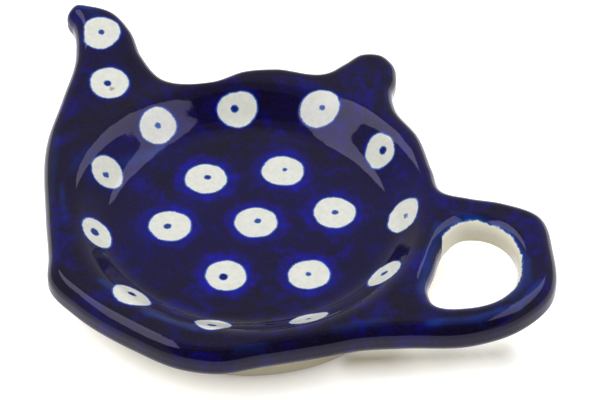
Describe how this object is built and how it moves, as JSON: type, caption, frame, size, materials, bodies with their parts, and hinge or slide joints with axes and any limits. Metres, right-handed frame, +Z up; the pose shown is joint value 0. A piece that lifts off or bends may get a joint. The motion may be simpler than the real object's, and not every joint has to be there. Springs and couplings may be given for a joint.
{
  "type": "tea bag rest",
  "caption": "Flat stoneware rest in a teapot's outline: round shallow well, rolled rim, hooked spout, lid knob, pierced loop handle and ring foot.",
  "frame": {"origin": "on the table at the well's axis, in the plane of the foot", "axes": "+Z up, +X from the spout to the handle, +Y from the pot's flat base to its lid knob"},
  "size_m": [0.1267, 0.0971, 0.019],
  "materials": {
    "cobalt_glaze": "glossy cobalt underglaze with white spots under clear glaze",
    "clear_glaze": "cream stoneware under clear glaze, bare where the foot stands"
  },
  "bodies": {
    "root": {"bowl": "cobalt_glaze", "rim": "cobalt_glaze", "spout": "cobalt_glaze", "knob": "cobalt_glaze", "handle": "cobalt_glaze", "foot_ring": "clear_glaze"}
  },
  "joints": []
}
